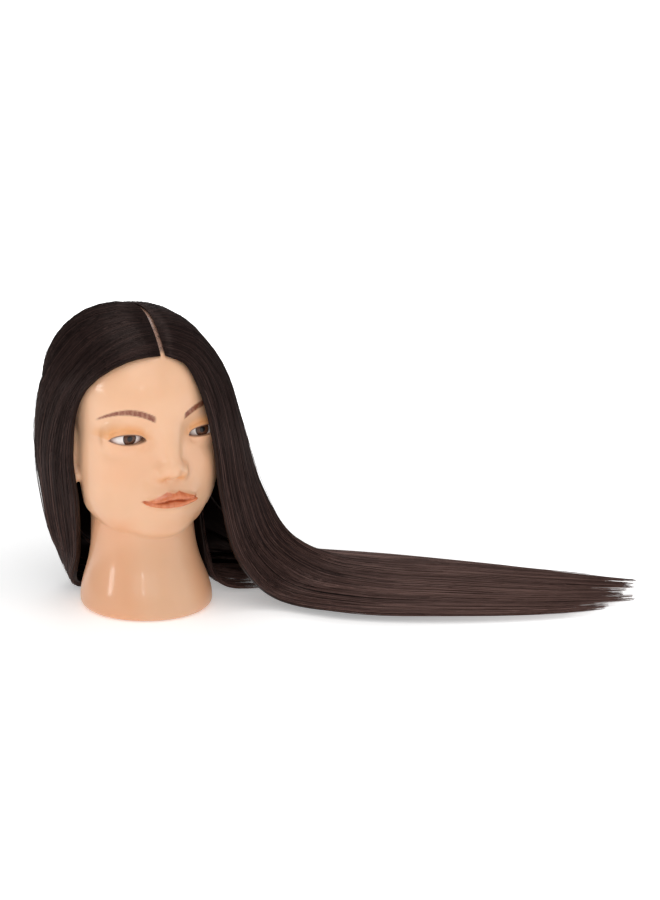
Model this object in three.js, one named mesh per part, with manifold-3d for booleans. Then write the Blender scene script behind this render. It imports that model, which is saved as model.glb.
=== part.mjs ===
// Mannequin training head: a hollow vinyl head on a flared neck, filled with rigid foam, standing on a
// base disc with a socket for a clamp post, and very long straight hair that falls to one side and lies
// along the table.
// Millimetres, +Z up, the face looks along -Y, and the origin is the centre of the base's bottom face.
import * as THREE from "three";
import { mergeVertices } from "three/addons/utils/BufferGeometryUtils.js";
import Module from "manifold-3d";

const wasm = await Module();
wasm.setup();

// ---- Driving dimensions ----
const SKULL = { at: [0, 30, 195], radii: [68, 85, 66.5] };
const NECK_RADIUS = 45;
const NECK_FLARE = 13; // how much wider the base is than the neck
const FLARE_HEIGHT = 32;
const WIDEST_Z = 8;
const BASE_FILLET = 7;
const NECK_LEAN = 9; // how far the neck's top sits behind its base
const NECK_TOP = 100;

const SKIN_WALL = 4;
const FIT_GAP = 0.3;
const CORE_GAP = 0.6;
const DISC_RADIUS = 48;
const DISC_THICK = 3.6;

const SOCKET_MOUTH_R = 12;
const SOCKET_END_R = 10.5;
const SOCKET_DEPTH = 60;
const SOCKET_WALL = 3;
const FLANGE_R = 24;
const FLANGE_THICK = 3;

const EYE = { at: [35.5, -33, 167], radii: [17.5, 12, 12.5] };
const EYE_BACK = 5; // the insert's flat back, behind the eye's centre
const EYE_OPENING = [15, 4.4];
const EYE_WELL = 6; // how far the foam stands back from an eye insert
const LID_RADII = [20.5, 14.6, 15.5];

const HAIR_CLEAR = 2; // hair to scalp
const LOCK_GAP = 2; // between neighbouring locks

const COLOURS = {
  vinyl: 0xf0ba91,
  foam: 0xe9dfb8,
  plastic: 0x2b2b2d,
  eye: 0x5a3522,
  hair: 0x33251f,
};

// ---- Distance to the head's surface, negative inside ----
const mix = (a, b, f) => a + (b - a) * f;
const clamp01 = (v) => Math.min(1, Math.max(0, v));
const smooth = (v) => clamp01(v) ** 2 * (3 - 2 * clamp01(v));

// Joins two distances with a fillet of about the given size.
function blend(a, b, size) {
  const h = Math.max(size - Math.abs(a - b), 0) / size;
  return Math.min(a, b) - (h * h * size) / 4;
}

function ellipsoid(p, at, radii) {
  const q = p.map((v, i) => (v - at[i]) / radii[i]);
  const g = q.map((v, i) => v / radii[i]);
  const k0 = Math.hypot(...q);
  return (k0 * (k0 - 1)) / Math.max(Math.hypot(...g), 1e-9);
}

// A rod with round ends whose radius goes from ra to rb.
function rod(p, a, b, ra, rb) {
  const ab = b.map((v, i) => v - a[i]);
  const ap = p.map((v, i) => v - a[i]);
  const along = ab.reduce((s, v, i) => s + v * ap[i], 0);
  const f = clamp01(along / ab.reduce((s, v) => s + v * v, 0));
  return Math.hypot(...ap.map((v, i) => v - ab[i] * f)) - mix(ra, rb, f);
}

const neckAxisY = (z) => NECK_LEAN * smooth(z / 90);

// The neck's radius grows to the flared base and rounds under at the bottom edge.
function neckRadius(z) {
  const flare = NECK_FLARE * Math.exp(-(((z - WIDEST_Z) / FLARE_HEIGHT) ** 2));
  const under = BASE_FILLET - clamp01(z / BASE_FILLET) * BASE_FILLET;
  return NECK_RADIUS + flare - BASE_FILLET + Math.sqrt(BASE_FILLET ** 2 - under ** 2);
}

function neck([x, y, z]) {
  const side = Math.hypot(x, y - neckAxisY(z)) - neckRadius(z);
  return Math.max(side, -z, z - NECK_TOP);
}

function head([x, y, z]) {
  const p = [Math.abs(x), y, z]; // the head is the same left and right
  let d = ellipsoid(p, SKULL.at, SKULL.radii);
  d = blend(d, ellipsoid(p, [0, -2, 150], [64.5, 52, 84]), 12); // face
  d = blend(d, ellipsoid(p, [34, -18, 135], [23, 26, 28]), 12); // cheek
  d = blend(d, ellipsoid(p, [0, -6, 112], [58, 47, 42]), 10); // lower face
  d = blend(d, ellipsoid(p, [0, -36, 112], [27, 22, 22]), 12); // mouth
  d = blend(d, rod(p, [42, 6, 99], [30, -16, 88], 10, 11), 10); // jaw
  d = blend(d, ellipsoid(p, [0, -28, 85], [29, 21.5, 16]), 8); // chin
  d = blend(d, neck(p), 3);
  d = blend(d, ellipsoid(p, EYE.at, LID_RADII), 5); // lids
  d = blend(d, rod(p, [0, -48, 176], [0, -58.6, 144], 5, 7), 11); // nose bridge
  d = blend(d, ellipsoid(p, [0, -58.6, 140.4], [8.6, 8.4, 7]), 5); // nose tip
  d = blend(d, ellipsoid(p, [10.6, -52.8, 135.6], [5.6, 8, 5.6]), 8); // nostril wings
  d = blend(d, ellipsoid(p, [8, -55.4, 114.4], [15, 7.4, 4.4]), 3); // upper lip
  d = blend(d, ellipsoid(p, [0, -54, 107], [19, 8.2, 4.8]), 3); // lower lip
  d = blend(d, ellipsoid(p, [66.5, 16, 146], [5.5, 15, 28]), 4); // ear
  return d;
}

function awayFromHead(p) {
  const step = 0.5;
  const slope = [0, 1, 2].map((axis) => {
    const shifted = (by) => p.map((v, i) => (i === axis ? v + by : v));
    return head(shifted(step)) - head(shifted(-step));
  });
  const size = Math.hypot(...slope) || 1;
  return slope.map((v) => v / size);
}

// ---- Closed skins of the head ----
// Rows of rays run from the crown round the chin and down the neck to the base.
// Each knot is [how far down the rows, ray start y, ray start z, ray elevation in degrees].
const SPINE = [
  [0, 22, 170, 90],
  [0.52, 20, 168, -22],
  [0.62, 16, 150, -44],
  [0.7, 15, 118, -40],
  [0.8, 11, 66, -6],
  [1, 0, 10, 0],
];
// The last rows go round the bottom fillet, to the flat bottom and its centre: [start z, elevation].
const FOOT = [
  [BASE_FILLET, 0],
  [BASE_FILLET, -4.6],
  [BASE_FILLET, -8],
  [BASE_FILLET, -90],
];

function rayAt(row, rows) {
  const foot = row - (rows + 1 - FOOT.length);
  if (foot >= 0) return [0, ...FOOT[foot]];
  const down = row / (rows - FOOT.length);
  const i = Math.max(1, SPINE.findIndex((knot) => knot[0] >= down - 1e-9));
  const [a, b] = [SPINE[i - 1], SPINE[i]];
  const f = (down - a[0]) / (b[0] - a[0]);
  return a.map((v, k) => mix(v, b[k], f)).slice(1);
}

// Walks out from inside the head to the surface that lies `inset` under the skin.
function surfacePoint([y, z, elevation], around, inset) {
  const tilt = THREE.MathUtils.degToRad(elevation);
  const ray = [Math.cos(tilt) * Math.sin(around), -Math.cos(tilt) * Math.cos(around), Math.sin(tilt)];
  let reach = 0;
  let point = [0, y, z];
  for (let step = 0; step < 90; step++) {
    reach -= (head(point) + inset) * 0.7;
    point = [ray[0] * reach, y + ray[1] * reach, z + ray[2] * reach];
  }
  return point;
}

function headShape(inset, columns, rows) {
  const shape = new THREE.SphereGeometry(1, columns, rows);
  const position = shape.attributes.position;
  const uv = shape.attributes.uv;
  for (let i = 0; i < position.count; i++) {
    const row = Math.floor(i / (columns + 1));
    const column = (i % (columns + 1)) % columns;
    // columns stand closer together round the face
    const turn = (column / columns) * 2 * Math.PI;
    const around = row === 0 || row === rows ? 0 : turn - 0.35 * Math.sin(turn);
    const [x, y, z] = surfacePoint(rayAt(row, rows), around, inset);
    position.setXYZ(i, row === 0 || row === rows ? 0 : x, y, z);
  }
  return shape;
}

// ---- Joining and cutting ----
function solid(geometry) {
  const bare = geometry.clone();
  bare.deleteAttribute("normal");
  bare.deleteAttribute("uv");
  const merged = mergeVertices(bare, 1e-4);
  const mesh = new wasm.Mesh({
    numProp: 3,
    vertProperties: new Float32Array(merged.attributes.position.array),
    triVerts: new Uint32Array(merged.index.array),
  });
  return new wasm.Manifold(mesh);
}

function geometryOf(manifold) {
  const { vertProperties, triVerts } = manifold.getMesh();
  const geometry = new THREE.BufferGeometry();
  geometry.setAttribute("position", new THREE.BufferAttribute(vertProperties, 3));
  geometry.setIndex(new THREE.BufferAttribute(triVerts, 1));
  geometry.computeVertexNormals();
  return geometry;
}

// A turned piece from [radius, height] pairs that close on themselves or start and end on the axis.
function turned(profile, segments = 32) {
  const points = profile.map(([r, z]) => new THREE.Vector2(r, z));
  return new THREE.LatheGeometry(points, segments).rotateX(Math.PI / 2);
}

const root = new THREE.Group();

function addPiece(name, geometry, colour, roughness) {
  const mesh = new THREE.Mesh(geometry, new THREE.MeshStandardMaterial({ color: colour, roughness }));
  mesh.name = name;
  root.add(mesh);
}

// ---- The head ----
function eyeball(side, grow) {
  const [rx, ry, rz] = EYE.radii.map((r) => r + grow);
  return new THREE.SphereGeometry(1, 20, 12)
    .scale(rx, ry, rz)
    .translate(side * EYE.at[0], EYE.at[1], EYE.at[2]);
}

function eyeOpening(side) {
  const outline = new THREE.Shape().absellipse(0, 0, ...EYE_OPENING, 0, 2 * Math.PI);
  return new THREE.ExtrudeGeometry(outline, { depth: 20, bevelEnabled: false, curveSegments: 10 })
    .rotateX(Math.PI / 2)
    .translate(side * EYE.at[0], EYE.at[1] - 4, EYE.at[2]);
}

function headSkin() {
  let skin = solid(headShape(0, 48, 44));
  skin = skin.subtract(solid(headShape(SKIN_WALL, 24, 22)));
  const mouth = turned([[0, -2], [DISC_RADIUS + FIT_GAP, -2], [DISC_RADIUS + FIT_GAP, 6], [0, 6]]);
  skin = skin.subtract(solid(mouth));
  for (const side of [-1, 1]) {
    skin = skin.subtract(solid(eyeball(side, FIT_GAP)));
    skin = skin.subtract(solid(eyeOpening(side)));
  }
  return geometryOf(skin);
}

function foamCore() {
  let core = solid(headShape(SKIN_WALL + CORE_GAP, 24, 22));
  const r = SOCKET_END_R + SOCKET_WALL + FIT_GAP;
  const top = SOCKET_DEPTH + SOCKET_WALL + FIT_GAP;
  const seat = DISC_THICK + FLANGE_THICK + 2 * FIT_GAP;
  const mouthR = SOCKET_MOUTH_R + SOCKET_WALL + FIT_GAP;
  const flangeR = FLANGE_R + FIT_GAP;
  const well = turned([[0, -2], [flangeR, -2], [flangeR, seat], [mouthR, seat], [r, top], [0, top]]);
  core = core.subtract(solid(well));
  for (const side of [-1, 1]) {
    core = core.subtract(solid(eyeball(side, EYE_WELL)));
  }
  return geometryOf(core);
}

function eyeInsert(side) {
  const back = new THREE.BoxGeometry(60, 30, 60)
    .translate(side * EYE.at[0], EYE.at[1] + EYE_BACK + 15, EYE.at[2]);
  return geometryOf(solid(eyeball(side, 0)).subtract(solid(back)));
}

function baseDisc() {
  const hole = SOCKET_MOUTH_R + SOCKET_WALL + FIT_GAP;
  return turned([[hole, 0], [DISC_RADIUS, 0], [DISC_RADIUS, DISC_THICK], [hole, DISC_THICK], [hole, 0]]);
}

// The sleeve's mouth is level with the disc, and its flange lies on the disc's inner side.
function clampSocket() {
  const under = DISC_THICK + FIT_GAP;
  return turned([
    [0, SOCKET_DEPTH],
    [SOCKET_END_R, SOCKET_DEPTH],
    [SOCKET_MOUTH_R, 0],
    [SOCKET_MOUTH_R + SOCKET_WALL, 0],
    [SOCKET_MOUTH_R + SOCKET_WALL, under],
    [FLANGE_R, under],
    [FLANGE_R, under + FLANGE_THICK],
    [SOCKET_MOUTH_R + SOCKET_WALL - 0.1, under + FLANGE_THICK],
    [SOCKET_END_R + SOCKET_WALL, SOCKET_DEPTH + SOCKET_WALL],
    [0, SOCKET_DEPTH + SOCKET_WALL],
  ]);
}

// ---- The hair ----
// The outer hair is one sheet that starts along the centre part and wraps the head from the left front
// edge, round the back, to the right front edge. Each strand falls to the table and lies along it to +X.
// A guide lists its points from root to tip, and the guides are spaced evenly round the head.
const OUTER_GUIDES = [
  // left front edge, past the left eye
  [
    [2, -38.5, 237], [18, -45, 229], [30, -52.5, 203], [40, -55, 160], [52, -46, 100], [64, -52, 48],
    [91, -64, 13], [139, -119, 7], [214, -164, 7], [312, -196, 5.5], [389, -197, 2.5],
  ],
  // left temple
  [
    [5.5, -14, 254], [38, -20, 240], [63, -22, 203], [72, -30, 158], [86, -28, 98], [104, -33, 50],
    [136, -56, 23], [170, -86, 16], [236, -126, 14], [323, -160, 9.5], [405, -172, 4],
  ],
  // left side
  [
    [9.5, 12, 260.5], [48, 26, 243], [76, 18, 204], [91, 16, 152], [107, 9, 96], [131, -10, 46],
    [165, -25, 24], [203, -47, 18], [262, -82, 16], [336, -120, 12], [416, -148, 5],
  ],
  // crown and back
  [
    [10, 58, 258], [4, 100, 240], [6, 124, 200], [16, 125, 150], [34, 118, 96], [66, 100, 48],
    [109, 60, 22], [172, 13, 16], [247, -41, 14.5], [323, -91, 11], [396, -129, 5],
  ],
  // right side, behind the ear
  [
    [5.5, 12, 260.5], [-48, 34, 243], [-76, 43, 203], [-77, 57, 150], [-63, 73, 96], [-50, 78, 44],
    [-20, 98, 16], [84, 100, 9], [184, 40, 8.5], [278, -31, 7], [356, -89, 4.5],
  ],
  // over the right ear
  [
    [1.5, -14, 254], [-40, -12, 240], [-72, 2, 203], [-81, 17, 152], [-70, 38, 98], [-55, 52, 44],
    [-34, 73, 9], [50, 75, 3.5], [143, 20, 3.5], [234, -50, 3.2], [318, -108, 2.5],
  ],
  // right front edge, past the temple and the ear
  [
    [-2, -38.5, 237], [-32, -31.5, 232], [-64.5, -9, 198.5], [-73, -8, 149.5], [-63, 4, 99], [-50, 32, 44],
    [-44, 52, 10], [26, 68, 4], [118, 22, 3.5], [210, -54, 3.2], [296, -116, 2.5],
  ],
];
// The sheet's thickness at each point of a guide, on the left and back, and on the right.
const LEFT_THICK = [1.6, 4.5, 6, 7, 8, 10, 11.5, 12, 11, 8, 3];
const RIGHT_THICK = [1.6, 4.5, 6, 7, 8, 8, 7, 5.5, 5, 4.5, 2.5];

// The under layer hangs from the nape, between the neck and the outer hair.
const NAPE_GUIDES = [
  [[62, 34, 142], [65, 29, 112], [62, 20, 78], [62, 10, 42], [71, -3, 9], [116, -20, 4]],
  [[8, 100, 150], [12, 92, 120], [16, 83, 85], [30, 78, 50], [51, 60, 21], [98, 22, 10]],
  [[-56, 54, 142], [-54, 60, 120], [-43, 64, 85], [-34, 66, 50], [0, 84, 24], [54, 62, 14]],
];
const NAPE_THICK = [2, 5, 6, 6, 5, 2.5];

// In the tail the sheet folds under itself along its fifth guide.
const FOLD = 4 / 6;
const HAIR_SECTIONS = [
  ["hair_left", 5, 0, 0.36],
  ["hair_back", 5, 0.36, FOLD],
  ["hair_right", 5, FOLD, 1],
];
const NAPE_LOCKS = 4;
const LOCK_COLUMNS = 2;
const LOCK_ROWS = 30;
const NAPE_ROWS = 14;
const LOCK_EDGE = 0.35; // a lock's thickness at its edges, as a share of its middle

function curveThrough(points) {
  return new THREE.CatmullRomCurve3(points.map((p) => new THREE.Vector3(...p)), false, "centripetal");
}

function valueAlong(values, f) {
  const at = clamp01(f) * (values.length - 1);
  const i = Math.min(values.length - 2, Math.floor(at));
  return mix(values[i], values[i + 1], at - i);
}

// A sheet of hair: `across` runs from its first guide to its last, and `along` from root to tip.
function hairSheet(guides, thickness) {
  const curves = guides.map(curveThrough);
  function middle(across, along) {
    const row = new THREE.CatmullRomCurve3(curves.map((c) => c.getPoint(along)), false, "centripetal");
    const point = row.getPoint(across).toArray();
    const need = thickness(across, along) / 2 + HAIR_CLEAR;
    const room = head(point);
    if (room >= need) return point;
    const out = awayFromHead(point);
    return point.map((v, i) => v + out[i] * (need - room));
  }
  function normal(across, along) {
    const e = 0.004;
    const at = (a, s) => new THREE.Vector3(...middle(clamp01(a), clamp01(s)));
    const over = at(across + e, along).sub(at(across - e, along));
    const down = at(across, along + e).sub(at(across, along - e));
    return down.cross(over).normalize();
  }
  return { middle, normal, thickness };
}

// One lock is the part of a sheet between two places across it, thinner at its edges.
function lock(sheet, from, to, rows) {
  const shape = new THREE.BoxGeometry(1, 1, 1, LOCK_COLUMNS, rows, 1);
  const position = shape.attributes.position;
  for (let i = 0; i < position.count; i++) {
    const share = 0.5 - position.getX(i);
    const along = position.getY(i) + 0.5;
    const [a, b] = [sheet.middle(from, along), sheet.middle(to, along)];
    const width = Math.hypot(...a.map((v, k) => v - b[k]));
    const inset = Math.min(0.25, LOCK_GAP / 2 / width);
    const across = mix(from, to, mix(inset, 1 - inset, share));
    const edge = mix(LOCK_EDGE, 1, 1 - Math.abs(2 * share - 1));
    const half = (sheet.thickness(across, along) / 2) * edge * Math.sign(position.getZ(i));
    const middle = sheet.middle(across, along);
    const normal = sheet.normal(across, along);
    const z = Math.max(0.3, middle[2] + normal.z * half);
    position.setXYZ(i, middle[0] + normal.x * half, middle[1] + normal.y * half, z);
  }
  return shape;
}

function outerHair() {
  const right = (across) => smooth((across - 0.5) / 0.14);
  const nearFold = (across) => Math.exp(-(((across - FOLD) / 0.07) ** 2));
  const folding = (across, along) => smooth((along - 0.45) / 0.1) * nearFold(across);
  const thickness = (across, along) =>
    mix(valueAlong(LEFT_THICK, along), valueAlong(RIGHT_THICK, along), right(across)) *
    mix(1, 0.45, folding(across, along));
  const sheet = hairSheet(OUTER_GUIDES, thickness);
  for (const [name, count, start, end] of HAIR_SECTIONS) {
    for (let i = 0; i < count; i++) {
      const from = mix(start, end, i / count);
      const to = mix(start, end, (i + 1) / count);
      addPiece(name + "_" + (i + 1), lock(sheet, from, to, LOCK_ROWS), COLOURS.hair, 0.45);
    }
  }
}

function napeHair() {
  const sheet = hairSheet(NAPE_GUIDES, (across, along) => valueAlong(NAPE_THICK, along));
  for (let i = 0; i < NAPE_LOCKS; i++) {
    const piece = lock(sheet, i / NAPE_LOCKS, (i + 1) / NAPE_LOCKS, NAPE_ROWS);
    addPiece("hair_nape_" + (i + 1), piece, COLOURS.hair, 0.45);
  }
}

addPiece("head_skin", headSkin(), COLOURS.vinyl, 0.35);
addPiece("foam_core", foamCore(), COLOURS.foam, 0.9);
addPiece("base_disc", baseDisc(), COLOURS.plastic, 0.6);
addPiece("clamp_socket", clampSocket(), COLOURS.plastic, 0.5);
addPiece("eye_left", eyeInsert(1), COLOURS.eye, 0.1);
addPiece("eye_right", eyeInsert(-1), COLOURS.eye, 0.1);
outerHair();
napeHair();

export default root;
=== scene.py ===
"""Mannequin training head: glossy vinyl head on a flared neck, with very long straight hair lying to one side.

Shapes are worked out in millimetres in the part's own frame and turned into metres when a mesh is made.
"""
import math

import bpy
import numpy as np
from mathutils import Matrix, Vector


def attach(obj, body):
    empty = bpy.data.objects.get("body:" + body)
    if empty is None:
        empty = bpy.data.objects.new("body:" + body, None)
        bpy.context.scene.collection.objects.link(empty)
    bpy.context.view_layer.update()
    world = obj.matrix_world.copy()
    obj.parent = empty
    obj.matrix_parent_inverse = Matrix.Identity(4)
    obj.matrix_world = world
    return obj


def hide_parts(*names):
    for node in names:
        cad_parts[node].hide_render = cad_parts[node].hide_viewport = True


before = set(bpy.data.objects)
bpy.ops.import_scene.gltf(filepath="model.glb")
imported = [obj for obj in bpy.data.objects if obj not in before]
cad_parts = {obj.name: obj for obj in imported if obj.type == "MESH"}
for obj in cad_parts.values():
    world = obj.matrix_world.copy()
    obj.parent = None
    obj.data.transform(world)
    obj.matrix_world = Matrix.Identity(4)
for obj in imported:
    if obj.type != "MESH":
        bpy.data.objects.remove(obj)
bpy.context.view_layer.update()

MM = 0.001
BODY = "root"
rng = np.random.default_rng(7)

# ---------------------------------------------------------------- driving sizes, mm
SKULL_AT, SKULL_RADII = (0, 30, 195), (68, 85, 66.5)
NECK_RADIUS, NECK_FLARE, FLARE_HEIGHT, WIDEST_Z = 45, 13, 32, 8
BASE_FILLET, NECK_LEAN, NECK_TOP = 7, 9, 100
BASE_OPENING = 48.6
DISC_LEVEL = 3.8

EYE_AT, EYE_RADII, EYE_BACK = (35.5, -33.0, 167.0), (17.5, 12.0, 12.5), 5.0
IRIS_X, IRIS_RADIUS, PUPIL_RADIUS = 34.6, 6.3, 2.5
EYE_INNER, EYE_OUTER = (20.3, 164.9), (52.2, 166.8)
LID_TOP, LID_BOTTOM = 171.4, 162.6

BROW_LINE = ((14, 184.6), (26, 189.8), (37, 191.2), (50, 186.7), (57.5, 181.4))
BROW_HALF = 2.9

MOUTH_HALF, MOUTH_Z, MOUTH_CORNER_Z = 27.5, 111.4, 110.8
BOW_Z, LIP_PEAK_X, LIP_PEAK_Z, LIP_BOTTOM_Z = 118.2, 6.0, 119.4, 105.0


# ---------------------------------------------------------------- small maths
def mix(a, b, f):
    return a + (b - a) * f


def smooth(v):
    v = np.clip(v, 0, 1)
    return v * v * (3 - 2 * v)


def bump(v, width):
    return np.exp(-((v / width) ** 2))


def join(a, b, size):
    """The union of two distances, with a fillet."""
    h = np.maximum(size - np.abs(a - b), 0) / size
    return np.minimum(a, b) - h * h * size * 0.25


def cut(a, b, size):
    """Distance a with b taken away, with a fillet."""
    return -join(-a, b, size)


def ellipsoid(p, at, radii, tilt=0.0):
    """Distance to an ellipsoid; tilt turns it in the X-Z plane, in degrees."""
    q = [v - c for v, c in zip(p, at)]
    if tilt:
        c, s = math.cos(math.radians(tilt)), math.sin(math.radians(tilt))
        q = [q[0] * c + q[2] * s, q[1], q[2] * c - q[0] * s]
    k0 = np.sqrt(sum((v / r) ** 2 for v, r in zip(q, radii)))
    k1 = np.sqrt(sum((v / (r * r)) ** 2 for v, r in zip(q, radii)))
    return k0 * (k0 - 1) / np.maximum(k1, 1e-6)


def rod(p, a, b, ra, rb):
    """Distance to a rod with round ends whose radius goes from ra to rb."""
    ab = [v - w for v, w in zip(b, a)]
    ap = [v - w for v, w in zip(p, a)]
    f = np.clip(sum(v * w for v, w in zip(ap, ab)) / sum(v * v for v in ab), 0, 1)
    return np.sqrt(sum((v - w * f) ** 2 for v, w in zip(ap, ab))) - mix(ra, rb, f)


# ---------------------------------------------------------------- the head as one distance field
def neck_axis_y(z):
    return NECK_LEAN * smooth(z / 90)


def neck_radius(z):
    flare = NECK_FLARE * bump(z - WIDEST_Z, FLARE_HEIGHT)
    under = BASE_FILLET * (1 - np.clip(z / BASE_FILLET, 0, 1))
    return NECK_RADIUS + flare - BASE_FILLET + np.sqrt(BASE_FILLET ** 2 - under ** 2)


def neck(p):
    side = np.hypot(p[0], p[1] - neck_axis_y(p[2])) - neck_radius(p[2])
    return np.maximum(np.maximum(side, -p[2]), p[2] - NECK_TOP)


def across_eye(x):
    """0 at the eye's inner corner and 1 at its outer corner."""
    return (x - EYE_INNER[0]) / (EYE_OUTER[0] - EYE_INNER[0])


def lid_lines(x):
    """Heights of the lower and the upper lid's edge above each x."""
    f = np.clip(across_eye(x), 0, 1)
    corner = mix(EYE_INNER[1], EYE_OUTER[1], f)
    arch_up = (4 * f * (1 - f)) ** 0.62
    arch_down = (4 * f * (1 - f)) ** 0.8
    lower = corner + (LID_BOTTOM - mix(EYE_INNER[1], EYE_OUTER[1], 0.5)) * arch_down
    upper = corner + (LID_TOP - mix(EYE_INNER[1], EYE_OUTER[1], 0.5)) * arch_up
    return lower, upper


def mouth_line(x):
    return mix(MOUTH_Z, MOUTH_CORNER_Z, smooth(np.abs(x) / MOUTH_HALF)) - 0.9 * bump(np.abs(x) - 9, 6)


def lip_borders(x):
    """Heights of the lips' lower and upper outlines."""
    f = np.clip(np.abs(x) / MOUTH_HALF, 0, 1)
    lower = mix(LIP_BOTTOM_Z, MOUTH_CORNER_Z, f ** 2.4)
    from_peak = np.clip((np.abs(x) - LIP_PEAK_X) / (MOUTH_HALF - LIP_PEAK_X), 0, 1)
    rise = mix(LIP_PEAK_Z, MOUTH_CORNER_Z, from_peak ** 0.88)
    bow = mix(BOW_Z, LIP_PEAK_Z, smooth(np.abs(x) / LIP_PEAK_X))
    upper = np.where(np.abs(x) < LIP_PEAK_X, bow, rise)
    return lower, upper


def face_details(d, p):
    x, y, z = p
    front = smooth((-28 - y) / 8)
    lower, upper = lid_lines(x)
    in_eye = smooth(across_eye(x) / 0.08) * smooth((1 - across_eye(x)) / 0.06)
    # crease above the upper lid, and a softer one below the lower lid
    d = d + 0.5 * bump(z - upper - 3.6 - 0.8 * in_eye, 1.1) * in_eye * front
    d = d + 0.25 * bump(z - lower + 4.0, 1.6) * in_eye * front
    # groove from the nose to the upper lip
    d = d + 0.7 * bump(x, 2.6) * bump(z - 123.5, 4.2) * front
    d = d - 0.3 * bump(x - 4.6, 1.8) * bump(z - 122, 4.5) * front
    # where the lips meet, and their corners
    inside = smooth((MOUTH_HALF + 0.5 - x) / 8)
    d = d + 1.9 * bump(z - mouth_line(x), 0.95) * inside * front
    d = d + 0.3 * bump(x - MOUTH_HALF - 0.4, 3.8) * bump(z - MOUTH_CORNER_Z, 3.8) * front
    # raised lip outline
    border_low, border_up = lip_borders(x)
    d = d - 0.14 * bump(z - border_up, 0.9) * inside * front
    d = d + 0.55 * bump(z - border_low + 3.6, 2.6) * smooth((22 - x) / 10) * front
    # crease behind the nostril wing, and a shallow nostril under it
    d = d + 0.55 * bump(np.hypot(x - 17.2, (z - 136) * 0.6), 2.4) * front
    d = d + 0.8 * bump(np.hypot(x - 6.0, (y + 57) * 0.7), 2.2) * bump(z - 130, 2.5)
    return d


def bare_head(p):
    """The head without its ears and the face's small parts; the hair keeps clear of this."""
    d = ellipsoid(p, SKULL_AT, SKULL_RADII)
    d = join(d, ellipsoid(p, (0, -2, 150), (64.5, 52, 84)), 12)  # face
    d = join(d, ellipsoid(p, (34, -18, 135), (23, 26, 28)), 12)  # cheek
    d = join(d, ellipsoid(p, (0, -6, 112), (58, 47, 42)), 10)  # lower face
    d = join(d, ellipsoid(p, (0, -36, 112), (27, 22, 22)), 12)  # mouth
    d = join(d, rod(p, (42, 6, 99), (30, -16, 88), 10, 11), 10)  # jaw
    d = join(d, ellipsoid(p, (0, -28, 85), (29, 21.5, 16)), 8)  # chin
    return join(d, neck(p), 3)


def head(x, y, z):
    p = (np.abs(x), y, z)
    d = bare_head(p)
    d = cut(d, ellipsoid(p, (29, -62, 171), (15, 15, 9)), 12)  # eye socket
    d = join(d, rod(p, (0, -48.0, 176), (0, -58.6, 144), 5.0, 7.0), 11)  # nose bridge
    d = join(d, ellipsoid(p, (0, -58.6, 140.4), (8.6, 8.4, 7.0)), 5)  # nose tip
    d = join(d, ellipsoid(p, (10.6, -52.8, 135.6), (5.6, 8.0, 5.6)), 8)  # nostril wing
    d = join(d, rod(p, (0, -61.5, 137.0), (0, -53, 132.6), 3.4, 3.6), 3)  # between the nostrils
    d = join(d, ellipsoid(p, EYE_AT, (20.0, 14.6, 15.2)), 6)  # lids
    d = join(d, ellipsoid(p, (9.5, -55.0, 113.4), (16.5, 7.6, 4.1), -16), 3.2)  # upper lip
    d = join(d, ellipsoid(p, (0, -57.6, 114.6), (5.4, 5.6, 3.8)), 3)  # its middle
    d = join(d, ellipsoid(p, (7.0, -53.8, 107.4), (15.0, 8.2, 4.6), 9), 3.2)  # lower lip
    d = join(d, ellipsoid(p, (66.5, 16, 149), (5.5, 15, 25), 4), 4)  # ear
    d = join(d, ellipsoid(p, (65.8, 8, 125), (4.6, 8, 8.5)), 5)  # ear lobe
    d = cut(d, ellipsoid(p, (73.5, 14, 148), (5, 9, 13)), 3)  # the ear's hollow
    d = face_details(d, p)
    # the gap between the lids, down to the eye insert
    lower, upper = lid_lines(p[0])
    opening = np.maximum(np.maximum(z - upper, lower - z) * 0.95, y + 31)
    opening = np.maximum(opening, np.maximum(EYE_INNER[0] - p[0], p[0] - EYE_OUTER[0]))
    d = cut(d, opening, 0.7)
    # the recess that the base disc closes
    recess = np.maximum(np.hypot(x, y) - BASE_OPENING, z - DISC_LEVEL)
    return np.maximum(d, -recess)


# ---------------------------------------------------------------- meshes
def new_object(name, verts_mm, faces, smooth_shading=True):
    """faces is a list of integer arrays, one for each number of corners."""
    mesh = bpy.data.meshes.new(name)
    verts = np.asarray(verts_mm, np.float32) * MM
    mesh.vertices.add(len(verts))
    mesh.vertices.foreach_set("co", verts.ravel())
    loops = np.concatenate([f.ravel() for f in faces]).astype(np.int32)
    sizes = np.concatenate([np.full(len(f), f.shape[1]) for f in faces])
    mesh.loops.add(len(loops))
    mesh.loops.foreach_set("vertex_index", loops)
    mesh.polygons.add(len(sizes))
    mesh.polygons.foreach_set("loop_start", np.concatenate([[0], np.cumsum(sizes)[:-1]]).astype(np.int32))
    mesh.polygons.foreach_set("use_smooth", np.full(len(sizes), smooth_shading))
    mesh.update(calc_edges=True)
    mesh.validate()
    obj = bpy.data.objects.new(name, mesh)
    bpy.context.scene.collection.objects.link(obj)
    return obj


def point_attribute(obj, name, values):
    attribute = obj.data.attributes.new(name, "FLOAT", "POINT")
    attribute.data.foreach_set("value", np.asarray(values, np.float32))


def steps(*stretches):
    """Grid lines: each stretch is (start, end, spacing), and one begins where the last ends."""
    lines = [np.linspace(a, b, max(1, round((b - a) / gap)), endpoint=False) for a, b, gap in stretches]
    return np.concatenate(lines + [[stretches[-1][1]]]).astype(np.float32)


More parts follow.
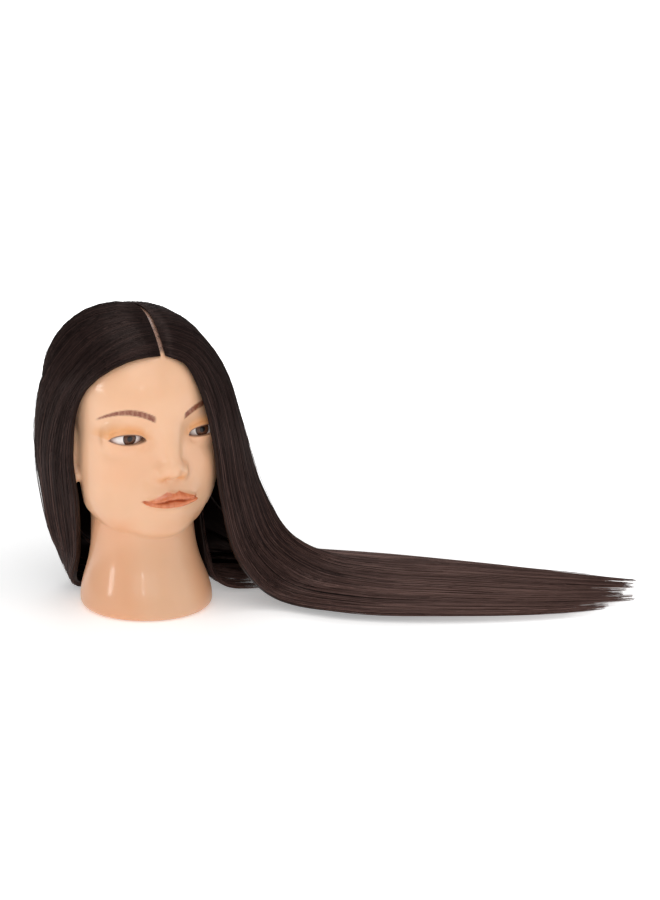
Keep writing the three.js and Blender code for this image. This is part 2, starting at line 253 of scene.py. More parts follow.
def surface_of(field, xs, ys, zs, polish=3):
    """The zero surface of a distance field as closed quads, one vertex to each grid cell that it crosses."""
    values = field(xs[:, None, None], ys[None, :, None], zs[None, None, :])
    below = values < 0
    shape = tuple(n - 1 for n in values.shape)
    corners = [(i, j, k) for i in (0, 1) for j in (0, 1) for k in (0, 1)]

    def corner(grid, c):
        return grid[tuple(slice(o, o + n) for o, n in zip(c, shape))]

    count = sum(corner(below, c).astype(np.int8) for c in corners)
    active = (count > 0) & (count < 8)
    index = np.full(shape, -1, np.int64)
    index[active] = np.arange(active.sum())
    cell = np.argwhere(active)
    total = np.zeros((len(cell), 3), np.float32)
    hits = np.zeros(len(cell), np.float32)
    lines = (xs, ys, zs)
    for a in corners:
        for axis in range(3):
            if a[axis]:
                continue
            b = tuple(v + (n == axis) for n, v in enumerate(a))
            va = values[tuple((cell + a).T)]
            vb = values[tuple((cell + b).T)]
            crossing = (va < 0) != (vb < 0)
            f = np.where(crossing, va / np.where(crossing, va - vb, 1), 0)
            ends = [np.stack([lines[n][cell[:, n] + c[n]] for n in range(3)], 1) for c in (a, b)]
            total += np.where(crossing[:, None], mix(ends[0], ends[1], f[:, None]), 0)
            hits += crossing
    verts = total / hits[:, None]
    quads = []
    for axis in range(3):
        u, v = [n for n in range(3) if n != axis]
        first = [slice(None)] * 3
        second = [slice(None)] * 3
        first[axis], second[axis] = slice(0, -1), slice(1, None)
        change = below[tuple(first)] != below[tuple(second)]
        at = np.argwhere(change)
        at = at[(at[:, u] > 0) & (at[:, v] > 0) & (at[:, u] < shape[u]) & (at[:, v] < shape[v])]
        ring = []
        for du, dv in ((1, 1), (0, 1), (0, 0), (1, 0)):
            near = at.copy()
            near[:, u] -= du
            near[:, v] -= dv
            ring.append(index[tuple(near.T)])
        quad = np.stack(ring, 1)
        turned = below[tuple(at.T)] == (axis == 1)
        quad[turned] = quad[turned][:, ::-1]
        quads.append(quad)
    for _ in range(polish):
        step = 0.2
        here = field(*verts.T)
        slope = np.stack([(field(*(verts + step * e).T) - field(*(verts - step * e).T)) / (2 * step)
                          for e in np.eye(3, dtype=np.float32)], 1)
        move = -here[:, None] * slope / np.maximum((slope ** 2).sum(1), 0.25)[:, None]
        length = np.linalg.norm(move, axis=1, keepdims=True)
        verts += move * np.minimum(1, 0.5 / np.maximum(length, 1e-6))
    return verts, np.concatenate(quads)


# ---------------------------------------------------------------- materials
def new_material(name, roughness, colour=(0.8, 0.8, 0.8), **sockets):
    material = bpy.data.materials.new(name)
    material.use_nodes = True
    shader = material.node_tree.nodes["Principled BSDF"]
    shader.inputs["Roughness"].default_value = roughness
    shader.inputs["Base Color"].default_value = (*colour, 1)
    for socket, value in sockets.items():
        shader.inputs[socket.replace("_", " ")].default_value = value
    return material, material.node_tree, shader


def node(tree, kind, **inputs):
    made = tree.nodes.new("ShaderNode" + kind)
    for name, value in inputs.items():
        name = name.replace("_", " ")
        if isinstance(value, bpy.types.NodeSocket):
            tree.links.new(value, made.inputs[name])
        else:
            made.inputs[name].default_value = value
    return made


def attribute(tree, name):
    made = tree.nodes.new("ShaderNodeAttribute")
    made.attribute_name = name
    return made.outputs["Fac"]


def blend_colour(tree, factor, a, b):
    made = tree.nodes.new("ShaderNodeMix")
    made.data_type = "RGBA"
    for socket, value in ((made.inputs[0], factor), (made.inputs[6], a), (made.inputs[7], b)):
        if isinstance(value, bpy.types.NodeSocket):
            tree.links.new(value, socket)
        else:
            socket.default_value = value if isinstance(value, float) else (*value, 1)
    return made.outputs[2]


def maths(tree, operation, a, b=0.0, clamp=False):
    made = tree.nodes.new("ShaderNodeMath")
    made.operation = operation
    made.use_clamp = clamp
    for socket, value in zip(made.inputs, (a, b)):
        if isinstance(value, bpy.types.NodeSocket):
            tree.links.new(value, socket)
        else:
            socket.default_value = value
    return made.outputs[0]


def noise(tree, scale, detail=3.0, stretch=(1, 1, 1), roughness=0.5):
    place = node(tree, "TexCoord").outputs["Object"]
    mapping = node(tree, "Mapping", Vector=place, Scale=stretch)
    made = node(tree, "TexNoise", Vector=mapping.outputs[0], Scale=scale, Detail=detail, Roughness=roughness)
    return made.outputs[0]


def add_bump(tree, shader, height, strength, distance):
    made = node(tree, "Bump", Height=height, Strength=strength, Distance=distance)
    tree.links.new(made.outputs[0], shader.inputs["Normal"])


def ramp(tree, factor, low, high):
    """0 below low and 1 above high."""
    made = tree.nodes.new("ShaderNodeMapRange")
    made.interpolation_type = "SMOOTHSTEP"
    tree.links.new(factor, made.inputs["Value"])
    made.inputs["From Min"].default_value = low
    made.inputs["From Max"].default_value = high
    return made.outputs[0]


SKIN_TONES = (0.765, 0.445, 0.268), (0.795, 0.475, 0.293)
# the blush tone also colours painted shade round the nostril wings and on the neck's sides
BLUSH_AND_SHADE_TONE = (0.78, 0.405, 0.225)
# the eyeshadow tone also colours painted shade under the nose
EYESHADOW_AND_SHADE_TONE = (0.74, 0.33, 0.12)
LIP_TONES = (0.56, 0.150, 0.055), (0.68, 0.220, 0.092)
BROW_TONE = (0.20, 0.046, 0.020)
LINER_TONE = (0.075, 0.028, 0.018)
SCALP_TONE, ROOT_TONE = (0.36, 0.20, 0.14), (0.06, 0.035, 0.03)


def vinyl_material():
    """Satin vinyl with the face's painted colours, each where its own attribute on the mesh says; the blush and
    the eyeshadow also carry painted shade round the nose and on the neck's sides.
    """
    material, tree, shader = new_material(
        "vinyl_skin", 0.42, Subsurface_Weight=0.12, Subsurface_Scale=0.004,
        Subsurface_Radius=(1.0, 0.42, 0.22), Coat_Weight=0.35, Coat_Roughness=0.14)
    shader.inputs["IOR"].default_value = 1.42
    tone = blend_colour(tree, ramp(tree, noise(tree, 22), 0.35, 0.7), *SKIN_TONES)
    # painted blush, together with painted shade round the nostril wings and on the neck's sides
    tone = blend_colour(tree, attribute(tree, "blush_and_shade"), tone, BLUSH_AND_SHADE_TONE)
    # painted eyeshadow, together with painted shade under the nose
    tone = blend_colour(tree, attribute(tree, "shadow"), tone, EYESHADOW_AND_SHADE_TONE)
    lip = blend_colour(tree, ramp(tree, noise(tree, 260, stretch=(1, 1, 0.15)), 0.3, 0.7), *LIP_TONES)
    tone = blend_colour(tree, attribute(tree, "lips"), tone, lip)
    strokes = ramp(tree, noise(tree, 420, stretch=(1, 1, 0.5), detail=2), 0.3, 0.62)
    painted = maths(tree, "ADD", maths(tree, "MULTIPLY", strokes, 0.22), 0.76)
    tone = blend_colour(tree, maths(tree, "MULTIPLY", attribute(tree, "brow"), painted), tone, BROW_TONE)
    tone = blend_colour(tree, attribute(tree, "liner"), tone, LINER_TONE)
    roots = ramp(tree, noise(tree, 900, detail=1), 0.52, 0.62)
    scalp = blend_colour(tree, roots, SCALP_TONE, ROOT_TONE)
    tone = blend_colour(tree, attribute(tree, "scalp"), tone, scalp)
    tree.links.new(tone, shader.inputs["Base Color"])
    gloss = ramp(tree, noise(tree, 60), 0.2, 0.8)
    rough = maths(tree, "ADD", maths(tree, "MULTIPLY", gloss, 0.07), 0.40)
    rough = maths(tree, "SUBTRACT", rough, maths(tree, "MULTIPLY", attribute(tree, "lips"), 0.22))
    tree.links.new(rough, shader.inputs["Roughness"])
    add_bump(tree, shader, noise(tree, 700, detail=2), 0.12, 0.0002)
    return material


IRIS_TONES = (0.050, 0.017, 0.009), (0.15, 0.060, 0.028)
IRIS_RIM_TONE, PUPIL_TONE = (0.020, 0.008, 0.006), (0.006, 0.005, 0.005)
WHITE_TONES = (0.84, 0.76, 0.72), (0.78, 0.64, 0.58)
EYE_CORNER_TONE = (0.60, 0.40, 0.35)


def eye_material(side):
    """White, brown iris with fibres and a dark rim, and a black pupil, painted round the eye's front."""
    material, tree, shader = new_material(
        "eye_gloss", 0.3, Coat_Weight=0.4, Coat_Roughness=0.02, Specular_IOR_Level=0.15)
    place = node(tree, "TexCoord").outputs["Object"]
    split = node(tree, "SeparateXYZ", Vector=place)
    dx = maths(tree, "SUBTRACT", split.outputs[0], side * IRIS_X * MM)
    dz = maths(tree, "SUBTRACT", split.outputs[2], EYE_AT[2] * MM + 0.0006)
    squares = maths(tree, "ADD", maths(tree, "MULTIPLY", dx, dx), maths(tree, "MULTIPLY", dz, dz))
    radius = maths(tree, "SQRT", squares)
    # fibres of the iris run outwards, so their noise follows the turn round the pupil
    turn = maths(tree, "ARCTAN2", dz, dx)
    around = node(tree, "CombineXYZ", X=turn, Y=maths(tree, "MULTIPLY", radius, 90)).outputs[0]
    fibres = node(tree, "TexNoise", Vector=around, Scale=7.0, Detail=3.0).outputs[0]
    iris = blend_colour(tree, ramp(tree, fibres, 0.35, 0.68), *IRIS_TONES)
    rim = ramp(tree, radius, (IRIS_RADIUS - 1.6) * MM, (IRIS_RADIUS - 0.2) * MM)
    iris = blend_colour(tree, rim, iris, IRIS_RIM_TONE)
    pupil = ramp(tree, radius, (PUPIL_RADIUS - 0.25) * MM, (PUPIL_RADIUS + 0.25) * MM)
    iris = blend_colour(tree, pupil, PUPIL_TONE, iris)
    veins = ramp(tree, noise(tree, 120, detail=4), 0.45, 0.8)
    white = blend_colour(tree, veins, *WHITE_TONES)
    from_middle = maths(tree, "SUBTRACT", split.outputs[0], side * EYE_AT[0] * MM)
    corner = ramp(tree, maths(tree, "ABSOLUTE", from_middle), 0.009, 0.016)
    white = blend_colour(tree, corner, white, EYE_CORNER_TONE)
    edge = ramp(tree, radius, (IRIS_RADIUS - 0.3) * MM, (IRIS_RADIUS + 0.3) * MM)
    tree.links.new(blend_colour(tree, edge, iris, white), shader.inputs["Base Color"])
    return material


def plastic_material():
    material, tree, shader = new_material("black_plastic", 0.5)
    tone = blend_colour(tree, noise(tree, 90), (0.018, 0.018, 0.02), (0.035, 0.035, 0.038))
    tree.links.new(tone, shader.inputs["Base Color"])
    rough = maths(tree, "ADD", maths(tree, "MULTIPLY", noise(tree, 300), 0.2), 0.42)
    tree.links.new(rough, shader.inputs["Roughness"])
    add_bump(tree, shader, noise(tree, 1400, detail=2), 0.35, 0.0003)
    return material


def foam_material():
    material, tree, shader = new_material("rigid_foam", 0.9)
    cells = node(tree, "TexVoronoi", Vector=node(tree, "TexCoord").outputs["Object"], Scale=450.0).outputs[0]
    tone = blend_colour(tree, cells, (0.80, 0.70, 0.42), (0.62, 0.52, 0.30))
    tree.links.new(tone, shader.inputs["Base Color"])
    add_bump(tree, shader, cells, 0.6, 0.0006)
    return material


# from dark roots to lighter tips, partly the hair's own colour and partly painted shade on the head and painted
# light on the tail lying on the table; each strand strays a shade or two either way
HAIR_SHADES = ((0.0080, 0.0042, 0.0038), (0.0230, 0.0122, 0.0108), (0.0520, 0.0280, 0.0240),
               (0.1050, 0.0580, 0.0490), (0.1850, 0.1070, 0.0900))


def hair_materials():
    made = []
    for i, colour in enumerate(HAIR_SHADES):
        material, tree, shader = new_material(f"hair_shade_{i + 1}", 0.38, colour)
        shader.inputs["IOR"].default_value = 1.45
        shader.inputs["Specular IOR Level"].default_value = 0.3
        shader.inputs["Specular Tint"].default_value = (1.0, 0.74, 0.68, 1)
        streak = noise(tree, 240, detail=2)
        rough = maths(tree, "ADD", maths(tree, "MULTIPLY", streak, 0.2), 0.24)
        tree.links.new(rough, shader.inputs["Roughness"])
        add_bump(tree, shader, noise(tree, 1500, detail=2), 0.15, 0.0001)
        made.append(material)
    return made


# ---------------------------------------------------------------- the head's pieces
def brow_mask(x, z):
    """1 on the painted brow: an arch from its blunt inner end over a peak to a thin outer end."""
    line_x, line_z = zip(*BROW_LINE)
    middle = np.polyval(np.polyfit(line_x, line_z, 3), x)
    f = np.clip((x - line_x[0]) / (line_x[-1] - line_x[0]), 0, 1)
    half = BROW_HALF * mix(1.0, 0.2, f ** 2)
    ends = smooth((x - line_x[0] + 1.5) / 3) * smooth((line_x[-1] - x) / 3)
    return smooth((half + 0.6 - np.abs(z - middle)) / 1.2) * ends


def paint_face(obj, verts):
    """Writes where each painted colour lies on the head, from 0 to 1 at each vertex."""
    x, y, z = np.abs(verts[:, 0]), verts[:, 1], verts[:, 2]
    front = smooth((-12 - y) / 10)

    border_low, border_up = lip_borders(x)
    lips = smooth((z - border_low + 0.5) / 1.0) * smooth((border_up + 0.5 - z) / 1.0)
    lips = lips * smooth((MOUTH_HALF + 0.9 - x) / 1.4) * smooth((MOUTH_HALF + 0.6 - x) / 4)
    lips = lips * smooth((-44 - y) / 4)

    lower, upper = lid_lines(x)
    f = across_eye(x)
    in_eye = smooth((f + 0.03) / 0.08) * smooth((1.05 - f) / 0.08)
    liner = (bump(z - upper - 0.2, 0.85) + 0.45 * bump(z - lower + 0.2, 0.6)) * in_eye

    shadow = smooth((z - upper) / 2) * smooth((upper + 12 - z) / 8)
    shadow = shadow * smooth((f + 0.25) / 0.4) * smooth((1.35 - f) / 0.4)
    # painted shade under the nose, carried in the shadow channel with the eyeshadow
    nostril = 0.7 * bump(np.hypot(x - 8, (z - 131) * 1.5), 4.5)

    blush_and_shade = 0.55 * bump(np.hypot((x - 44) / 1.25, z - 138), 17)  # cheek
    # painted shade round the nostril wing, carried in the blush
    blush_and_shade = blush_and_shade + 0.6 * bump(np.hypot(x - 9, (z - 132) * 1.3), 7)  # nostril wing
    blush_and_shade = blush_and_shade + 0.3 * bump(np.hypot(x - 20, z - 150), 12)  # beside the nose
    blush_and_shade = blush_and_shade + 0.35 * bump(np.hypot(x, z - 82), 14)  # chin
    under_eye = smooth((f + 0.3) / 0.4) * smooth((1.4 - f) / 0.4) * bump(z - lower, 6)
    blush_and_shade = blush_and_shade + 0.5 * under_eye
    blush_and_shade = np.clip(blush_and_shade, 0, 1) * smooth((-2 - y) / 12)
    # painted shade: the sides of the neck oranger and darker, as where they turn from the light; it goes out in
    # the blush
    painted_neck_side_shade = 0.9 * smooth((x - 16) / 22) * smooth((98 - z) / 15)

    point_attribute(obj, "lips", lips * front)
    point_attribute(obj, "brow", brow_mask(x, z) * smooth((-10 - y) / 6))
    point_attribute(obj, "liner", np.clip(liner, 0, 1) * front)
    point_attribute(obj, "shadow", np.maximum(0.85 * shadow, nostril) * front)
    point_attribute(obj, "blush_and_shade", np.maximum(blush_and_shade, painted_neck_side_shade))
    point_attribute(obj, "scalp", smooth((z - 236) / 5) * smooth((y + 36) / 3))


def make_head(material):
    """The vinyl shell, on a grid that is finest round the eyes, nose and mouth."""
    coarse = 1.0
    xs = steps((-80, -56, 2.0), (-56, -14, 0.72 * coarse), (-14, 14, 0.8 * coarse),
               (14, 56, 0.72 * coarse), (56, 80, 2.0))
    ys = steps((-72, -28, 0.85 * coarse), (-28, 122, 2.6))
    zs = steps((-4, 10, 1.1), (10, 68, 2.6), (68, 98, 1.5), (98, 140, 0.8 * coarse), (140, 160, 1.2),
               (160, 176, 0.62 * coarse), (176, 196, 1.1), (196, 268, 2.6))
    verts, quads = surface_of(head, xs, ys, zs)
    obj = new_object("head_shell", verts, [quads])
    obj.data.materials.append(material)
    paint_face(obj, verts)
    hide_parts("head_skin")
    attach(obj, BODY)
    return obj


def make_eye(side):
    """A domed insert: rings of the ellipsoid's front, closed by a flat back."""
    rings, spokes = 40, 72
    reach = math.pi - math.acos(EYE_BACK / EYE_RADII[1])
    tilt = np.linspace(0, reach, rings + 1)[1:, None]
    turn = np.linspace(0, 2 * math.pi, spokes, endpoint=False)[None, :]
    x = EYE_RADII[0] * np.sin(tilt) * np.cos(turn)
    y = -EYE_RADII[1] * np.cos(tilt) * np.ones_like(turn)
    z = EYE_RADII[2] * np.sin(tilt) * np.sin(turn)
    verts = np.stack([x, y, z], 2).reshape(-1, 3)
    verts = np.concatenate([verts, [[0, -EYE_RADII[1], 0], [0, y[-1, 0], 0]]])
    verts += np.array([side * EYE_AT[0], EYE_AT[1], EYE_AT[2]])
    ring = np.arange(spokes)
    after = (ring + 1) % spokes
    quads = np.concatenate([np.stack([i * spokes + ring, (i + 1) * spokes + ring, (i + 1) * spokes + after,
                                      i * spokes + after], 1) for i in range(rings - 1)])
    tip, back = rings * spokes, rings * spokes + 1
    last = (rings - 1) * spokes
    tris = np.concatenate([np.stack([np.full(spokes, tip), ring, after], 1),
                           np.stack([np.full(spokes, back), last + after, last + ring], 1)])
    name = "left" if side > 0 else "right"
    obj = new_object(f"eye_insert_{name}", verts, [quads, tris])
    obj.data.materials.append(eye_material(side))
    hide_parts(f"eye_{name}")
    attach(obj, BODY)


def finish_cad_nodes():
    plastic, foam = plastic_material(), foam_material()
    for name, material in (("base_disc", plastic), ("clamp_socket", plastic), ("foam_core", foam)):
        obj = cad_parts[name]
        obj.data.materials.clear()
        obj.data.materials.append(material)


# ---------------------------------------------------------------- the hair
OUTER_GUIDES = (
    # left front edge, past the left eye
    ((2, -38.5, 237), (18, -45, 229), (30, -52.5, 203), (40, -55, 160), (52, -46, 100), (64, -52, 48),
     (91, -64, 13), (139, -119, 7), (214, -164, 7), (312, -196, 5.5), (389, -197, 2.5)),
    # left temple
    ((5.5, -14, 254), (38, -20, 240), (63, -22, 203), (72, -30, 158), (86, -28, 98), (104, -33, 50),
     (136, -56, 23), (170, -86, 16), (236, -126, 14), (323, -160, 9.5), (405, -172, 4)),
    # left side
    ((9.5, 12, 260.5), (48, 26, 243), (76, 18, 204), (91, 16, 152), (107, 9, 96), (131, -10, 46),
     (165, -25, 24), (203, -47, 18), (262, -82, 16), (336, -120, 12), (416, -148, 5)),
    # crown and back
    ((10, 58, 258), (4, 100, 240), (6, 124, 200), (16, 125, 150), (34, 118, 96), (66, 100, 48),
     (109, 60, 22), (172, 13, 16), (247, -41, 14.5), (323, -91, 11), (396, -129, 5)),
    # right side, behind the ear
    ((5.5, 12, 260.5), (-48, 34, 243), (-76, 43, 203), (-77, 57, 150), (-63, 73, 96), (-50, 78, 44),
     (-20, 98, 16), (84, 100, 9), (184, 40, 8.5), (278, -31, 7), (356, -89, 4.5)),
    # over the right ear
    ((1.5, -14, 254), (-40, -12, 240), (-72, 2, 203), (-81, 17, 152), (-70, 38, 98), (-55, 52, 44),
     (-34, 73, 9), (50, 75, 3.5), (143, 20, 3.5), (234, -50, 3.2), (318, -108, 2.5)),
    # right front edge, past the temple and the ear
    ((-2, -38.5, 237), (-32, -31.5, 232), (-64.5, -9, 198.5), (-73, -8, 149.5), (-63, 4, 99), (-50, 32, 44),
     (-44, 52, 10), (26, 68, 4), (118, 22, 3.5), (210, -54, 3.2), (296, -116, 2.5)),
)
LEFT_THICK = (1.6, 4.5, 6, 7, 8, 10, 11.5, 12, 11, 8, 3)
RIGHT_THICK = (1.6, 4.5, 6, 7, 8, 8, 7, 5.5, 5, 4.5, 2.5)
NAPE_GUIDES = (
    ((62, 34, 142), (65, 29, 112), (62, 20, 78), (62, 10, 42), (71, -3, 9), (116, -20, 4)),
    ((8, 100, 150), (12, 92, 120), (16, 83, 85), (30, 78, 50), (51, 60, 21), (98, 22, 10)),
    ((-56, 54, 142), (-54, 60, 120), (-43, 64, 85), (-34, 66, 50), (0, 84, 24), (54, 62, 14)),
)
NAPE_THICK = (2, 5, 6, 6, 5, 2.5)
FOLD = 4 / 6
HAIR_SECTIONS = (("hair_left", 5, 0.0, 0.36), ("hair_back", 5, 0.36, FOLD), ("hair_right", 5, FOLD, 1.0))
HAIR_CLEAR = 1.0
STRANDS, STRAYS = 640, 0.045  # strands in a lock, and the share of them that stand off it
STRAND_RADIUS = (0.15, 0.32)
TAPER_AT, TAPER = (0, 0.05, 0.85, 1), (0.5, 1, 0.95, 0.3)  # of the radius, from root to tip
WISPS = 10  # in each lock
LOCK_REACH, NAPE_REACH = 0.14, 0.12  # how unevenly the wisps end, as a share of the length
CORE_START, CORE_END = 0.045, 0.86
ACROSS, ALONG = 241, 161


def spline(points, at):
    """A centripetal Catmull-Rom curve through points[n], read at the places `at` from 0 to 1."""
    points = np.asarray(points, float)
    n = len(points)
    ends = np.concatenate([[2 * points[0] - points[1]], points, [2 * points[-1] - points[-2]]])
    gap = np.maximum(np.linalg.norm(np.diff(ends, axis=0), axis=-1) ** 0.5, 1e-4)[..., None]
    place = np.clip(at, 0, 1) * (n - 1)
    i = np.minimum(place.astype(int), n - 2)
    f = (place - i).reshape((-1,) + (1,) * (points.ndim - 1))
    p0, p1, p2, p3 = ends[i], ends[i + 1], ends[i + 2], ends[i + 3]
    g0, g1, g2 = gap[i], gap[i + 1], gap[i + 2]
    t1 = ((p1 - p0) / g0 - (p2 - p0) / (g0 + g1) + (p2 - p1) / g1) * g1
    t2 = ((p2 - p1) / g1 - (p3 - p1) / (g1 + g2) + (p3 - p2) / g2) * g1
    return (p1 + f * t1 + (-3 * p1 + 3 * p2 - 2 * t1 - t2) * f ** 2 + (2 * p1 - 2 * p2 + t1 + t2) * f ** 3)


def hair_room(points):
    """Distance from each point to the head under the hair."""
    x, y, z = points.T
    return bare_head((np.abs(x), y, z))


class Sheet:
    """A grid of a hair sheet's middle, outward direction and thickness, read at (across, along)."""

    def __init__(self, guides, thickness):
        along = np.linspace(0, 1, ALONG)
        across = np.linspace(0, 1, ACROSS)
        curves = np.stack([spline(g, along) for g in guides])
        middle = spline(curves, across)
        self.thick = thickness(across[:, None], along[None, :])
        for _ in range(2):
            flat = middle.reshape(-1, 3)
            room = hair_room(flat)
            slope = np.stack([hair_room(flat + e) - hair_room(flat - e) for e in np.eye(3) * 0.5], 1)
            slope /= np.maximum(np.linalg.norm(slope, axis=1, keepdims=True), 1e-6)
            need = np.maximum(self.thick.ravel() / 2 + HAIR_CLEAR - room, 0)
            middle = (flat + slope * need[:, None]).reshape(middle.shape)
        over = np.gradient(middle, axis=0)
        down = np.gradient(middle, axis=1)
        normal = np.cross(down, over)
        normal /= np.maximum(np.linalg.norm(normal, axis=2, keepdims=True), 1e-9)
        self.grid = np.concatenate([middle, normal, self.thick[..., None]], 2)

    def read(self, across, along):
        """Middle, outward direction and thickness at arrays of places."""
        a = np.clip(across, 0, 1) * (ACROSS - 1)
        s = np.clip(along, 0, 1) * (ALONG - 1)
        i = np.minimum(a.astype(int), ACROSS - 2)
        j = np.minimum(s.astype(int), ALONG - 2)
        fa, fs = (a - i)[..., None], (s - j)[..., None]
        g = self.grid
        value = mix(mix(g[i, j], g[i + 1, j], fa), mix(g[i, j + 1], g[i + 1, j + 1], fa), fs)
        return value[..., :3], value[..., 3:6], value[..., 6]


def along_values(values, f):
    return np.interp(f, np.linspace(0, 1, len(values)), values)


def outer_thickness(across, along):
    """The left's thickness blending into the right's, and thinner where the sheet folds round the neck."""
    right = smooth((across - 0.5) / 0.14)
    folding = smooth((along - 0.45) / 0.1) * bump(across - FOLD, 0.07)
    return mix(along_values(LEFT_THICK, along), along_values(RIGHT_THICK, along), right) * mix(1, 0.45, folding)


def wander(count, places, waves, size):
    """Smooth random paths, one row for each strand."""
    total = np.zeros((count, len(places)))
    for wave in waves:
        phase = rng.uniform(0, 2 * math.pi, (count, 1))
        total += np.sin(places[None, :] * 2 * math.pi * wave + phase) * rng.normal(0, 1, (count, 1)) / wave
    return total * size


def tubes(paths, outward, radii, sides=3):
    """Closed tapered tubes along paths[strand, step, xyz]; gives vertices, quads, end faces."""
    count, step_count = paths.shape[:2]
    tangent = np.gradient(paths, axis=1)
    tangent /= np.maximum(np.linalg.norm(tangent, axis=2, keepdims=True), 1e-9)
    side = np.cross(tangent, outward)
    side /= np.maximum(np.linalg.norm(side, axis=2, keepdims=True), 1e-9)
    up = np.cross(side, tangent)
    turns = np.arange(sides) * 2 * math.pi / sides + math.pi / 2
    ring = [paths + radii[..., None] * (math.cos(t) * side + math.sin(t) * up) for t in turns]
    verts = np.stack(ring, 2).reshape(-1, 3)
    base = (np.arange(count)[:, None] * step_count + np.arange(step_count - 1)[None, :])[..., None] * sides
    k = np.arange(sides)[None, None, :]
    k_next = (k + 1) % sides
    quads = np.stack([base + k, base + k_next, base + sides + k_next, base + sides + k], 3)
    first = np.arange(count)[:, None] * step_count * sides
    start = first + np.arange(sides)[None, ::-1]
    end = first + (step_count - 1) * sides + np.arange(sides)[None, :]
    return verts, quads, start, end


def strand_paths(sheet, count, start, end, reach):
    """Strands of one lock: [strand, step, xyz], their outward directions and how far along each step is."""
    step_count = 38
    f = np.linspace(0, 1, step_count) ** 0.92
    root = np.where(rng.random((count, 1)) < 0.6, 0, rng.uniform(0, 0.16, (count, 1)))
    # strands gather into wisps that end in their own places
    place = rng.uniform(0, 1, (count, 1))
    wisp = np.clip(np.round(place * WISPS - 0.5 + rng.normal(0, 0.3, (count, 1))), 0, WISPS - 1).astype(int)
    wisp_tip = rng.random(WISPS)[wisp]
    tip = 1 - reach * np.clip(0.75 * wisp_tip + 0.35 * rng.random((count, 1)) ** 2, 0, 1)
    along = root + (tip - root) * f[None, :]
    gather = 0.5 * smooth((f[None, :] - 0.25) / 0.6) + 0.35 * smooth((f[None, :] - 0.85) / 0.15)
    across = mix(place, (wisp + 0.5) / WISPS, gather) + wander(count, f, (0.7, 1.6), 0.035)
    across = mix(start, end, np.clip(across, -0.06, 1.06))
    middle, normal, thick = sheet.read(np.clip(across, 0.0005, 0.9995), along)
    depth = rng.uniform(-0.1, 1.0, (count, 1)) + wander(count, f, (0.8, 2.3), 0.10)
    lift = np.clip(depth, -0.9, 1.12) * thick * 0.5 * smooth(0.15 + (along - root) / 0.05)
    # a few strands stand off the lock
    stray = (rng.random((count, 1)) < STRAYS) * rng.uniform(0.5, 1, (count, 1))
    lift = lift + stray * np.abs(wander(count, f, (1.3, 3.4), 1.7)) * smooth((along - root) / 0.2)
    path = middle + normal * lift[..., None]
    return path, normal, along


def lock_core(sheet, start, end, columns=14, rows=110):
    """The lock's dense inside: a closed slab with grooves along it, a little inside the strands."""
    share = np.linspace(0, 1, columns + 1)
    along = np.linspace(CORE_START, CORE_END, rows + 1)
    narrow = 0.7 * smooth((along - 0.55) / (CORE_END - 0.55))
    across = mix(start, end, mix(share[:, None], 0.5, narrow[None, :]))
    middle, normal, thick = sheet.read(across, np.ones((columns + 1, 1)) * along[None, :])
    edge = 0.45 + 0.55 * np.sqrt(np.clip(1 - (2 * share - 1) ** 2, 0, 1))
    groove = 1 + 0.10 * np.sin(share * 37 + 3 * np.sin(along[None, :].T * 5)).T
    taper = smooth(0.02 + (along - CORE_START) / 0.12) * smooth(0.08 + (CORE_END - along) / 0.3)
    half = (thick * 0.34 * edge[:, None] * groove * taper[None, :])[..., None]
    outer = middle + normal * half
    inner = middle - normal * half
    sheets = np.stack([outer, inner])
    verts = sheets.reshape(-1, 3)
    size = (columns + 1) * (rows + 1)
    index = np.arange(size).reshape(columns + 1, rows + 1)
    a, b, c, d = index[:-1, :-1], index[1:, :-1], index[1:, 1:], index[:-1, 1:]
    top = np.stack([a, b, c, d], 2).reshape(-1, 4)
    bottom = np.stack([a, d, c, b], 2).reshape(-1, 4) + size
    rim = np.concatenate([index[:, 0], index[-1, 1:], index[-2::-1, -1], index[0, -2:0:-1]])
    after = np.roll(rim, -1)
    wall = np.stack([rim, rim + size, after + size, after], 1)
    return verts, np.concatenate([top, bottom, wall])


def make_lock(name, sheet, start, end, count, shades, reach):
    """One lock of hair: its grooved core and its separate strands, in shades from dark root to lighter tip,
    partly the hair's own colour and partly painted shade and light; the core takes the darkest shade as painted
    shade.
    """
    core_verts, core_quads = lock_core(sheet, start, end)
    path, normal, along = strand_paths(sheet, count, start, end, reach)
    taper = np.interp(np.linspace(0, 1, path.shape[1]), TAPER_AT, TAPER)
    radius = rng.uniform(*STRAND_RADIUS, (count, 1)) * taper
    verts, quads, caps_a, caps_b = tubes(path, normal, radius)
    verts[:, 2] = np.maximum(verts[:, 2], 0.15)
    core_verts[:, 2] = np.maximum(core_verts[:, 2], 0.1)
    base = len(core_verts)
    faces = [core_quads, quads.reshape(-1, 4) + base, np.concatenate([caps_a, caps_b]) + base]
    obj = new_object(name + "_strands", np.concatenate([core_verts, verts]), faces)
    for material in shades:
        obj.data.materials.append(material)
    top = len(shades) - 1
    own = rng.normal(0, 0.9, (count, 1))
    # the shade climbs from root to tip: partly the hair's own colour, partly painted shade on the head and
    # painted light on the tail on the table
    shade = np.clip(np.round(0.25 + own + 3.1 * smooth((along[:, :-1] - 0.12) / 0.8)), 0, top).astype(np.int32)
    # the core keeps the darkest shade all along: painted shade of the packed hair inside the lock, seen between
    # the strands
    core_painted_shade = np.zeros(len(core_quads), np.int32)
    strand_shade = np.repeat(shade[..., None], 3, axis=2).ravel()
    cap_shade = np.concatenate([shade[:, 0], shade[:, -1]])
    obj.data.polygons.foreach_set("material_index", np.concatenate([core_painted_shade, strand_shade, cap_shade]))
    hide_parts(name)
    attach(obj, BODY)
    return obj


